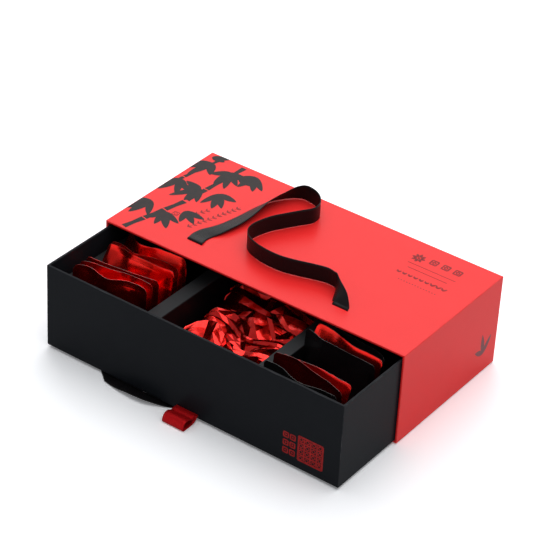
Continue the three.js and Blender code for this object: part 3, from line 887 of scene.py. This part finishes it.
# The same after the fold, and how far the ribbon is tipped up at each place, in radians
base_after_fold = (
    (-1.093, -0.531, 0, -1),
    (-0.996, -0.541, -0.12, -0.99),
    (-0.859, -0.556, -0.12, -0.99),
    (-0.751, -0.561, -0.06, -1),
    (-0.628, -0.565, 0, -1),
    (-0.526, -0.558, 0.2, -0.98),
    (-0.449, -0.542, 0.42, -0.91),
    (-0.372, -0.52, 0.56, -0.83),
    (-0.287, -0.491, 0.61, -0.79),
    (0, -0.378, 0.62, -0.79),
    (0.5, -0.18, 0.62, -0.79),
    (0.842, -0.046, 0.65, -0.76),
    (0.955, 0.018, 0.85, -0.53),
    (0.995, 0.085, 0.99, -0.1),
)
base_tilts = (0, 0.05, 0.16, 0.26, 0.32, 0.3, 0.22, 0.1, 0, 0, 0, 0, 0, 0)
# The fold: its middle in the same measures, half its crease in half widths of the ribbon, and its radius
base_fold_place = (-1.208, -0.531)
base_fold_slant = (1.222, -0.987)
base_fold_radius = 0.3
base_handle_height = -0.35
base_handle_steps = 380


def add_base_handle():
    edge = ribbon_width / 2
    lower = base_handle_height
    radius = base_fold_radius

    def place(x, y, z):
        return Vector((x * slit_half_spacing, sleeve_front + y * sleeve_depth, z))

    def laid(row, tilt=0.0):
        x, y, out_x, out_y = row
        centre = place(x, y, lower)
        across = Vector((out_x, out_y, 0)).normalized()
        across = across * math.cos(tilt) + Vector((0, 0, math.sin(tilt)))
        centre.z += edge * math.sin(tilt)
        return centre, across * edge

    slant = Vector((*base_fold_slant, 0)) * edge
    outward = Vector((slant.y, -slant.x, 0)).normalized()
    middle = place(*base_fold_place, lower + radius)
    fold = []
    for degrees in (-90, -45, 0, 45, 90):
        turn = math.radians(degrees)
        up = Vector((0, 0, radius * math.sin(turn)))
        fold.append((middle + outward * (radius * math.cos(turn)) + up, slant.copy()))
    before = [laid(row) for row in base_before_fold]
    after = [laid(row, tilt) for row, tilt in zip(base_after_fold, base_tilts)]
    for centre, _ in after[:2]:
        centre.z = lower + 2 * radius

    leaving = ((0, -0.1375), (-0.37, lower), (-2.2, lower))
    start, end = slit_ends(-1, 0, leaving, Vector((edge, 0, 0)))
    bm, total = woven_strip(start + before + fold + after + end, ribbon_width, base_handle_steps)
    piece = finish_piece(bm, "base_handle", "sleeve", black_ribbon)
    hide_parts("base_handle_ribbon")
    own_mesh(piece)


# The loop, from its slit out over the top, round the front and back along the table: millimetres out and up
tab_profile = (
    (0, 0.3), (1.4, 0.8), (3.1, 0.95), (5, 0.6), (6.6, 0.2), (8, 0.5), (10, 1.7), (12.2, 2.4), (14.5, 2.1),
    (16.3, 1), (17.6, -1), (18.2, -3), (18.1, -4.6), (17.2, -5.25), (14, -5.35), (8.7, -5.3), (4.3, -4.7),
    (1.8, -3.2), (0.4, -1.2), (0, -0.3),
)
tab_steps = 150
tab_slit_height = 3
tab_root_gap = 0.6
tab_tail_height = 18


def add_pull_tab():
    """One ribbon, folded in half: up inside the front, out through its slit, round the loop and back in."""
    half = Vector((tab_width / 2, 0, 0))
    root = drawer_front - tab_root_gap
    height = drawer_under + tab_slit_height
    inside = drawer_wall + 0.1 + tab_root_gap
    under = inside + 0.52
    tail = tab_tail_height
    upper = ((-inside, tail), (-inside, 9), (-inside, 1.6), (-inside + 0.3, 0.6), (-2, 0.27), (-1, 0.27))
    lower = ((-1, -0.27), (-2, -0.27), (-inside - 0.25, 0.25), (-under, 1.6), (-under, 9), (-under, tail))
    places = upper + tab_profile + lower
    stations = [(Vector((0, root - out, height + up)), half.copy()) for out, up in places]
    bm, total = woven_strip(stations, tab_width, tab_steps)
    piece = finish_piece(bm, "pull_tab", None, red_ribbon)
    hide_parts("pull_tab_loop", "pull_tab_tail")
    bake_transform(piece)


# Sachets


class Crumple:
    """Straight creases in several directions: along each direction the sheet rises and falls between its
    creases, in flat facets or in soft folds."""

    def __init__(self, seed, reach, depth, gap, directions, soft=False):
        chance = random.Random(seed)
        self.soft = soft
        self.waves = []
        for degrees in directions:
            turn = math.radians(degrees + chance.uniform(-12, 12))
            way = Vector((math.cos(turn), math.sin(turn)))
            knots = [(-reach, chance.uniform(-1, 1) * depth)]
            while knots[-1][0] < reach:
                step = gap * chance.uniform(0.55, 1.5)
                rise = chance.uniform(-1, 1) * depth
                knots.append((knots[-1][0] + step, rise))
            self.waves.append((way, knots, chance.uniform(-0.03, 0.03), chance.uniform(0, 6)))

    def lines(self):
        """The creases of flat facets, as a direction and a place along it."""
        if not self.soft:
            for way, knots, _, _ in self.waves:
                for place, _ in knots[1:-1]:
                    yield way, place

    def height(self, u, v):
        total = 0
        for way, knots, drift, phase in self.waves:
            place = way.x * u + way.y * v
            for (a, high_a), (b, high_b) in zip(knots, knots[1:]):
                if a <= place <= b:
                    share = (place - a) / (b - a)
                    fade = 0.65 + 0.35 * math.sin((way.x * v - way.y * u) * (0.06 + drift) + phase)
                    total += lerp(high_a, high_b, smooth(share) if self.soft else share) * fade
                    break
        return total


def flat_pouch(width, height, step, crumples):
    """A sheet cut along the crumples' creases, with its own UV map and its distances to the edges."""
    bm = bmesh.new()
    bmesh.ops.create_grid(bm, x_segments=round(width / step), y_segments=round(height / step), size=0.5)
    bmesh.ops.scale(bm, vec=(width, height, 1), verts=bm.verts)
    bmesh.ops.translate(bm, vec=(0, height / 2, 0), verts=bm.verts)
    for crumple in crumples:
        for way, place in crumple.lines():
            bmesh.ops.bisect_plane(
                bm,
                geom=bm.verts[:] + bm.edges[:] + bm.faces[:],
                dist=0.02,
                plane_co=(way.x * place, way.y * place + height / 2, 0),
                plane_no=(way.x, way.y, 0),
            )
    bmesh.ops.dissolve_degenerate(bm, dist=0.05, edges=bm.edges)
    half = width / 2
    uv = bm.loops.layers.uv.new("UVMap")
    edge_map = bm.loops.layers.uv.new("EdgeMap")
    for face in bm.faces:
        for loop in face.loops:
            u, v = loop.vert.co.x, loop.vert.co.y
            loop[uv].uv = ((u + half) * MM, v * MM)
            loop[edge_map].uv = ((half - abs(u)) * MM, (height - v) * MM)
    return bm


def add_sachet(
    name, node, material, place, lean, turn, wave, rise, crumples, middle_x, width, height, fill, step, hold,
    sharp, ends, corner, seed=0, arc=0.0, tuck=0.0, slot="red_foil",
):
    """A foil pouch between two welded edges. wave is how far its top edge stands forward or back at even
    shares of its width, which dies away down to the share `hold` of its height, and rise how far that edge
    lifts. ends is how far the film is crushed at its two side edges, arc how far its top part curls back, and
    tuck how far its right side draws in below the top."""
    bm = flat_pouch(width, height, step, crumples)
    half = width / 2
    flat = [(vert, vert.co.x, vert.co.y) for vert in bm.verts]
    second = second_side(bm)
    lean_turn = Matrix.Rotation(math.radians(turn), 3, "Z") @ Matrix.Rotation(-math.radians(lean), 3, "X")
    lift = 0.4 * math.sin(math.radians(lean)) + 0.3
    base = Vector((middle_x, drawer_front + place * drawer_length, insert_floor + lift))
    crush = Crumple(seed, reach=60, depth=ends, gap=6, directions=(15, 70, 130), soft=True)
    for vert, u, v in flat:
        share = v / height
        s = u / half

        # It swells between its welds
        inner = min(1, v / (height - weld_band))
        inner_s = min(1, abs(u) / (half - weld_band * 0.6))
        swell = max(0, math.sin(math.pi * inner)) ** 0.7 * max(0, 1 - inner_s**3) ** 0.7
        thick = lerp(weld_half_thickness, fill / 2, swell)

        # Its top waves, curls back and lifts
        top = smooth((share - hold) / (1 - hold))
        curled = max(0, (share - 0.7) / 0.3)
        bend = along_table(wave, (s + 1) / 2) * top + arc * (curled * curled - 1) * smooth(share * 2.5)
        up = along_table(rise, (s + 1) / 2) * smooth((share - 0.6) / 0.4)

        # Its creases fade towards its foot, and its side edges are crushed
        crease = sum(crumple.height(u, v - height / 2) for crumple in crumples)
        crease *= smooth((share - 0.05) / 0.75)
        if ends:
            crease += crush.height(u, v) * smooth((abs(s) - 0.72) / 0.2) * (1 - smooth((share - 0.86) / 0.1))

        # Its upper corners are round, and its sides draw in
        pull = 0
        if share > 0.5:
            over = max(0, abs(u) - (half - corner)) / corner
            drop = corner * (1 - math.sqrt(max(0, 1 - min(1, over) ** 2)))
            pull = drop * smooth((share - 0.8) / 0.2)
        drawn = u * (1 - 0.035 * swell) - tuck * smooth(s) * (1 - smooth((share - 0.72) / 0.25))

        for side, each in ((-1, vert), (1, second[vert])):
            spot = Vector((drawn, side * thick + bend + crease, v + up - pull))
            each.co = (base + lean_turn @ spot) * MM
    for face in bm.faces:
        face.smooth = True
    bmesh.ops.recalc_face_normals(bm, faces=bm.faces)
    piece = finish_piece(bm, name, "drawer", material)
    piece.data.set_sharp_from_angle(angle=math.radians(sharp))
    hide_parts(node)


# What the sachets of a well share: millimetres, but hold is a share of the height and sharp is in degrees
upright = {"height": 73, "step": 1.8, "sharp": 60}
left_well = {**upright, "middle_x": -99.46, "width": 70.05, "fill": 5.0, "hold": 0.6, "ends": 0.9}
right_well = {**upright, "middle_x": 99.3, "width": 70.4, "fill": 3.6, "hold": 0.45, "ends": 0.4, "corner": 2.5}
middle_well = {"height": 72, "fill": 2.4, "step": 5, "hold": 0.4, "sharp": 6, "ends": 0, "corner": 5}
middle_well_x = 0.45

# From the front: place in drawer lengths, lean and turn in degrees, and arc, wave and rise in millimetres
left_rows = (
    (0.101, 7.5, 8, 0.5, (1.1, 4.9, 3.4, -1.5, -3.6, 1.2, 3.6, 3.9, 0.5), (0, 0, 0)),
    (0.164, 7.5, 7, 1, (-1.8, 0.8, 1.4, 1.7, 2.2, 2.7, 2.2, 1.2, -1.1), (0, 0, 0)),
    (0.223, 7.5, 7.5, 1.5, (-0.8, -2.0, -2.5, -2.7, -2.8, -3.1, -3.0, -2.8, -2.4), (0, 0, 0)),
    (0.331, 11.5, 6, 2.4, (6.8, 7.4, 5.4, 1.6, 0.3, -0.3, -1.2, -2.0, -0.6), (0, 0, 0)),
    (0.387, 9.5, 4, 1, (2.3, 2.3, 0.2, -3.6, -1.6, 1.0, 2.4, 1.6, -0.3), (0, 0, 0)),
    (0.485, 11, 0, 2.8, (3.4, 0.5, -5.5, -5.0, 0.8, 2.6, 3.8, 3.0, -3.5), (1.5, -1, -1)),
)
right_rows = (
    (0.042, 4.5, -0.5, 0, (-0.8, 0.9, 0.1, -3.6, -6.0, -5.2, -2.4, -1.7, -1.9), (1.5, 0, 0), black_foil),
    (0.104, 4.5, -4, 0, (0.6, 4.4, 7.2, 6.6, 5.2, 4.0, 3.0, 0.4, -2.2), (2.5, 0, 0), dark_red_foil),
    (0.172, 5.5, -4, 4.5, (1.2, 1.2, 1.2, 1.4, 1.4, 1.0, 0.4, 0.0, -0.6), (-5, -1, 0), red_foil),
    (0.398, 7.5, -2.2, 0, (-1.4, -2.4, -4.8, -3.8, -3.5, -3.7, -3.8, -4.0, -4.5), (2, 0, 0), black_foil),
    (0.466, 7.6, -5, 4.5, (2.0, 3.0, 2.2, -0.4, -2.4, -3.4, -2.6, -2.0, -2.4), (0, 0, 0), red_foil),
    (0.537, 6.5, -8, 0, (-1.5, -1.5, -2.5, -3.8, -3.7, -3.5, -2.8, -3.2, -6.5), (0, 0, 0), black_foil),
)
# The middle ones lie on each other: place, way aside, width, lean, turn, crease depth, tuck, wave and rise
middle_rows = (
    (
        0.037, -3, 82, 60, 2, 3.1, 22,
        (1.5, 2.5, 2.0, 0.0, -4.0, -6.5, -5.0, -3.0, 1.5), (-8, 1, 3, -3, -9, -12, -11, -8, -5),
    ),
    (
        0.150, -2, 84, 58, -1.5, 1.9, 12,
        (2.0, 2.5, 3.0, 1.0, -1.0, -3.0, -5.0, -6.0, -3.0), (-3, -1, -2, -6, -10, -10, -7, -4, -2),
    ),
    (0.238, 2, 84, 57, 2, 2.3, 0, (-4.5, -1.0, 0.5, -4.5, -7.5, -5.0, -1.0, 0.5, -2.0), (-7, 2, -3)),
    (0.341, 0, 88, 57, -1.5, 1.8, 0, (-0.5, -3.0, -6.0, -2.5, 0.5, -5.0, -7.5, -4.0, 1.0), (0, -2, 3)),
    (0.436, 0, 88, 57, 1, 1.8, 0, (-3.0, -5.0, -1.0, 1.0, -5.0, -6.5, -2.5, 0.0, -3.0), (-2, 3, -4)),
    (0.540, 0, 88, 57, 0, 1.2, 0, (-1.0, -2.0, -5.0, -2.0, 1.0, -3.0, -5.5, -2.0, 0.0), (0, 0, 0)),
)


def add_left_sachets():
    for index, (place, lean, turn, arc, wave, rise) in enumerate(left_rows):
        name, node = f"left_pouch_{index + 1}", f"left_sachet_{index + 1}"
        front, back = index == 0, index == len(left_rows) - 1
        folds = [
            Crumple(seed=11 + index, reach=60, depth=0.8, gap=13, directions=(2, 14), soft=True),
            Crumple(seed=41 + index, reach=60, depth=0.15, gap=18, directions=(80, 128), soft=True),
        ]
        if front:
            folds.append(Crumple(seed=3, reach=60, depth=1.8, gap=12, directions=(40, 105, 150)))
        add_sachet(
            name, node, red_foil, place, lean, turn, wave, rise, folds,
            corner=9 if back else 4, seed=index, arc=arc, **left_well,
        )


def add_right_sachets():
    for index, (place, lean, turn, arc, wave, rise, material) in enumerate(right_rows):
        name, node = f"right_pouch_{index + 1}", f"right_sachet_{index + 1}"
        folds = [Crumple(seed=31 + index, reach=60, depth=0.35, gap=20, directions=(8, 75, 125), soft=True)]
        slot = "black_foil" if material is black_foil else "red_foil"
        add_sachet(
            name, node, material, place, lean, turn, wave, rise, folds,
            seed=20 + index, arc=arc, slot=slot, **right_well,
        )


def add_middle_sachets():
    for index, (place, aside, width, lean, turn, depth, tuck, wave, rise) in enumerate(middle_rows):
        name, node = f"middle_pouch_{index + 1}", f"middle_sachet_{index + 1}"
        folds = [
            Crumple(seed=221 + index, reach=75, depth=depth, gap=11, directions=(20, 75, 130)),
            Crumple(seed=230 + index, reach=75, depth=depth / 2, gap=7, directions=(50, 100, 160)),
        ]
        add_sachet(
            name, node, creased_foil, place, lean, turn, wave, rise, folds,
            middle_x=middle_well_x + aside, width=width, tuck=tuck, **middle_well,
        )


# Sleeve, drawer and insert


def add_papers():
    boards = [f"sleeve_{part}_board" for part in ("top", "base", "left", "right", "back")]
    boards += [f"drawer_{part}_board" for part in ("base", "front", "back", "left", "right")]
    shown_through(boards, board)
    shown_through(["sleeve_base_sheet"], red_paper)
    shown_through(["sleeve_lining", "drawer_lining"], black_lining)
    shown_through(["insert_base_card"], card)

    mouth = (1, sleeve_front)
    sleeve_folds = [(outer_folds(sleeve_box), 0.55), (inner_folds(sleeve_box, mouth), 0.4)]
    creased_copy("sleeve_printed_wrap", "sleeve_wrap", "sleeve", red_paper, sleeve_folds)
    rim = (2, drawer_rim)
    drawer_folds = [(outer_folds(drawer_box), 0.5), (inner_folds(drawer_box, rim), 0.45)]
    creased_copy("drawer_wrap", "drawer_cover", "drawer", black_paper, drawer_folds)

    def card_fold(ends):
        """A long edge near the card's top."""
        return abs(ends[0].y - ends[1].y) > 50 and min(end.z for end in ends) > insert_top - 10

    for part in ("left_ledge", "left_divider", "right_divider", "right_ledge"):
        creased_copy(f"insert_{part}", f"{part}_card", "drawer", card, [(card_fold, 0.28)])


# Prints


class Ink:
    """Shapes of ink on one face of the box, each a hair over the one before. `face` carries a place on it and
    a height over it, in millimetres, to a place in millimetres in the part's frame."""

    film = 0.03
    over_last = 0.0012

    def __init__(self, face):
        self.bm = bmesh.new()
        self.face = face
        self.count = 0

    def lay(self, verts, place):
        self.count += 1
        top = self.film + self.over_last * self.count
        for vert in verts:
            a, b = place(vert.co.x, vert.co.y)
            vert.co = self.face(a, b, top if vert.co.z > 0 else -self.film) * MM

    def leaf(self, x, y, heading, length, width, bend=0.0, point=1.5):
        """A brush stroke from (x, y), pointed at both ends."""
        turn = math.radians(heading)
        ahead, aside = Vector((math.cos(turn), math.sin(turn))), Vector((-math.sin(turn), math.cos(turn)))

        def place(u, v):
            share = (u + 1) / 2
            out = width / 2 * math.copysign(abs(v) ** point, v) * (1.2 - 0.45 * share) + bend * share * share
            spot = Vector((x, y)) + ahead * (length * share) + aside * out
            return spot.x, spot.y

        made = bmesh.ops.create_cone(self.bm, cap_ends=True, segments=22, radius1=1, radius2=1, depth=2)
        self.lay(made["verts"], place)

    def bar(self, x0, y0, x1, y1, width, end_width=None):
        start, end = Vector((x0, y0)), Vector((x1, y1))
        aside = Vector((start.y - end.y, end.x - start.x)).normalized()

        def place(u, v):
            share = (u + 1) / 2
            spot = start.lerp(end, share) + aside * (v * lerp(width, end_width or width, share) / 2)
            return spot.x, spot.y

        self.lay(bmesh.ops.create_cube(self.bm, size=2)["verts"], place)

    def dot(self, x, y, radius):
        made = bmesh.ops.create_cone(self.bm, cap_ends=True, segments=12, radius1=1, radius2=1, depth=2)
        self.lay(made["verts"], lambda u, v: (x + u * radius, y + v * radius))

    def square(self, x, y, half, width, turn=0):
        """A square outline around (x, y)."""
        reach = half * math.sqrt(2)
        corners = []
        for step in range(4):
            angle = math.radians(45 + 90 * step + turn)
            corners.append((x + reach * math.cos(angle), y + reach * math.sin(angle)))
        for (x0, y0), (x1, y1) in zip(corners, corners[1:] + corners[:1]):
            self.bar(x0, y0, x1, y1, width)

    def finish(self, name, body, material, slot):
        bmesh.ops.recalc_face_normals(self.bm, faces=self.bm.faces)
        finish_piece(self.bm, name, body, material)


def on_sleeve_top(x, y, height):
    """The print runs off the sheet at the folds."""
    fold = 0.6
    x = min(sleeve_half_width - fold, max(fold - sleeve_half_width, x))
    y = min(sleeve_back - fold, max(sleeve_front + fold, y))
    return Vector((x, y, sleeve_height + height))


def on_sleeve_end(y, z, height):
    return Vector((sleeve_half_width + height, y, z))


def on_drawer_front(x, z, height):
    return Vector((x, drawer_front - height, z))


# Culms of the bamboo: start, end, width, joints
culms = ((-133, -70, -118, -6, 5.2, 3), (-118, -4, -112, 70, 4.6, 3), (-147, 2, -136, 70, 3.4, 3))
# Leaf fans: place, heading, length, leaves
leaf_fans = (
    (-140, -24, -108, 27, 4), (-121, -30, -62, 25, 4), (-108, -18, -40, 22, 3), (-143, 20, -84, 26, 4),
    (-120, 18, -118, 27, 5), (-103, 22, -58, 26, 4), (-138, 58, -112, 28, 4), (-117, 56, -66, 28, 5),
    (-96, 64, -80, 26, 4), (-104, 50, 20, 17, 2), (-145, 66, 12, 15, 2),
)
# Sprigs: place, heading, pairs of leaves
sprigs = ((-92, -37, 72, 6), (-101, -22, 68, 4), (-83, -8, 74, 5))
# Places of the other prints on their faces, in millimetres
small_star = (-112, -27)
rosette = (82, 50)
top_squares_x = (96, 107.5, 119)
top_squares_y = 52
leaf_pairs = (80, 22)
dotted_line = (86, 14)
end_leaves = (52, 19)
lattice = (120, 22)
lattice_half = 11.4


def add_bamboo_print():
    ink = Ink(on_sleeve_top)
    for x0, y0, x1, y1, width, joints in culms:
        for joint in range(joints):
            low, high = joint / joints, (joint + 0.955) / joints
            ends = [(lerp(x0, x1, share), lerp(y0, y1, share)) for share in (low, lerp(low, high, 0.5), high)]
            ink.bar(*ends[0], *ends[1], width * 1.12, width * 0.86)
            ink.bar(*ends[1], *ends[2], width * 0.86, width * 1.16)
    chance = random.Random(5)
    for x, y, heading, length, leaves in leaf_fans:
        for leaf in range(leaves):
            spread = (leaf - (leaves - 1) / 2) * 27 + chance.uniform(-6, 6)
            size = length * (1.06 - abs(spread) / 160) * chance.uniform(0.88, 1.08)
            ink.leaf(x, y, heading + spread, size, chance.uniform(6.6, 8.4), spread * 0.05, 1.35)
    ink.finish("bamboo_print", "sleeve", black_ink, "black_paper")


def add_small_print():
    """Sprigs and a star by the bamboo, and a rosette, squares, leaf pairs and lines near the right end."""
    ink = Ink(on_sleeve_top)
    for x, y, heading, count in sprigs:
        turn = math.radians(heading)
        ink.bar(x, y, x + 5 * count * math.cos(turn), y + 5 * count * math.sin(turn), 0.5, 0.3)
        for leaf in range(count):
            spot = Vector((x + (5 * leaf + 1) * math.cos(turn), y + (5 * leaf + 1) * math.sin(turn)))
            for side in (48, -48):
                ink.leaf(spot.x, spot.y, heading + side, 3.8, 1.5)
    ink.square(*small_star, 2.6, 0.6)
    ink.square(*small_star, 1.3, 0.5, 45)
    for x in top_squares_x:
        ink.square(x, top_squares_y, 3.0, 1.3)
        ink.square(x, top_squares_y, 1.2, 1.0, 45)
    x, y = rosette
    for petal in range(8):
        turn = petal * math.pi / 4
        ink.leaf(x + 1.6 * math.cos(turn), y + 1.6 * math.sin(turn), petal * 45, 4.6, 2.6)
    ink.dot(x, y, 1.1)
    for line_y, x0, x1 in ((40, 78, 124), (33.5, 82, 120)):
        ink.bar(x0, line_y, x1, line_y, 0.35)
    x, y = leaf_pairs
    for step in range(9):
        size = 3.4 if step < 6 else 4.4
        for heading in (55, 125):
            ink.leaf(x + 5.4 * step, y, heading, size, 1.7)
    x, y = dotted_line
    for step in range(14):
        ink.dot(x + 2.7 * step, y, 0.45)
    ink.finish("small_top_print", "sleeve", deep_red_ink, "red_paper")


def add_end_print():
    """Three leaves on the sleeve's right end."""
    ink = Ink(on_sleeve_end)
    for heading, length in ((55, 18), (98, 21), (145, 14)):
        ink.leaf(*end_leaves, heading, length, 5.2, (heading - 90) * 0.03)
    ink.finish("sleeve_end_print", "sleeve", grey_ink, "red_paper")


def add_front_print():
    """A square lattice on the drawer's front, with six small squares on its left."""
    ink = Ink(on_drawer_front)
    middle_x, middle_z = lattice
    reach = lattice_half - 1.2
    ink.square(middle_x, middle_z, lattice_half, 1.6)
    for step in (-1, 0, 1):
        z = middle_z + 6 * step
        ink.bar(middle_x - reach, z, middle_x + reach, z, 1.5)
    for step in (-1, 0, 1):
        x = middle_x + 6 * step
        ink.bar(x, middle_z - reach, x, middle_z + reach, 1.5)
    for across in (-9, -3, 3, 9):
        for up in (-9, -3, 3, 9):
            ink.square(middle_x + across, middle_z + up, 1.35, 0.8, 45)
    for x in (96.5, 103):
        for z in (14, 21.5, 29):
            ink.square(x, z, 2.2, 1.2)
            ink.dot(x, z, 0.9)
    ink.finish("drawer_front_print", "drawer", bright_red_ink, "red_paper")


# All of it

add_camera()
add_world()
for softbox in softboxes:
    add_softbox(*softbox)
add_table()
add_papers()
add_top_handle()
add_base_handle()
add_pull_tab()
add_left_sachets()
add_right_sachets()
add_middle_sachets()
add_bamboo_print()
add_small_print()
add_end_print()
add_front_print()

scene = bpy.context.scene
scene.view_settings.view_transform = "Standard"
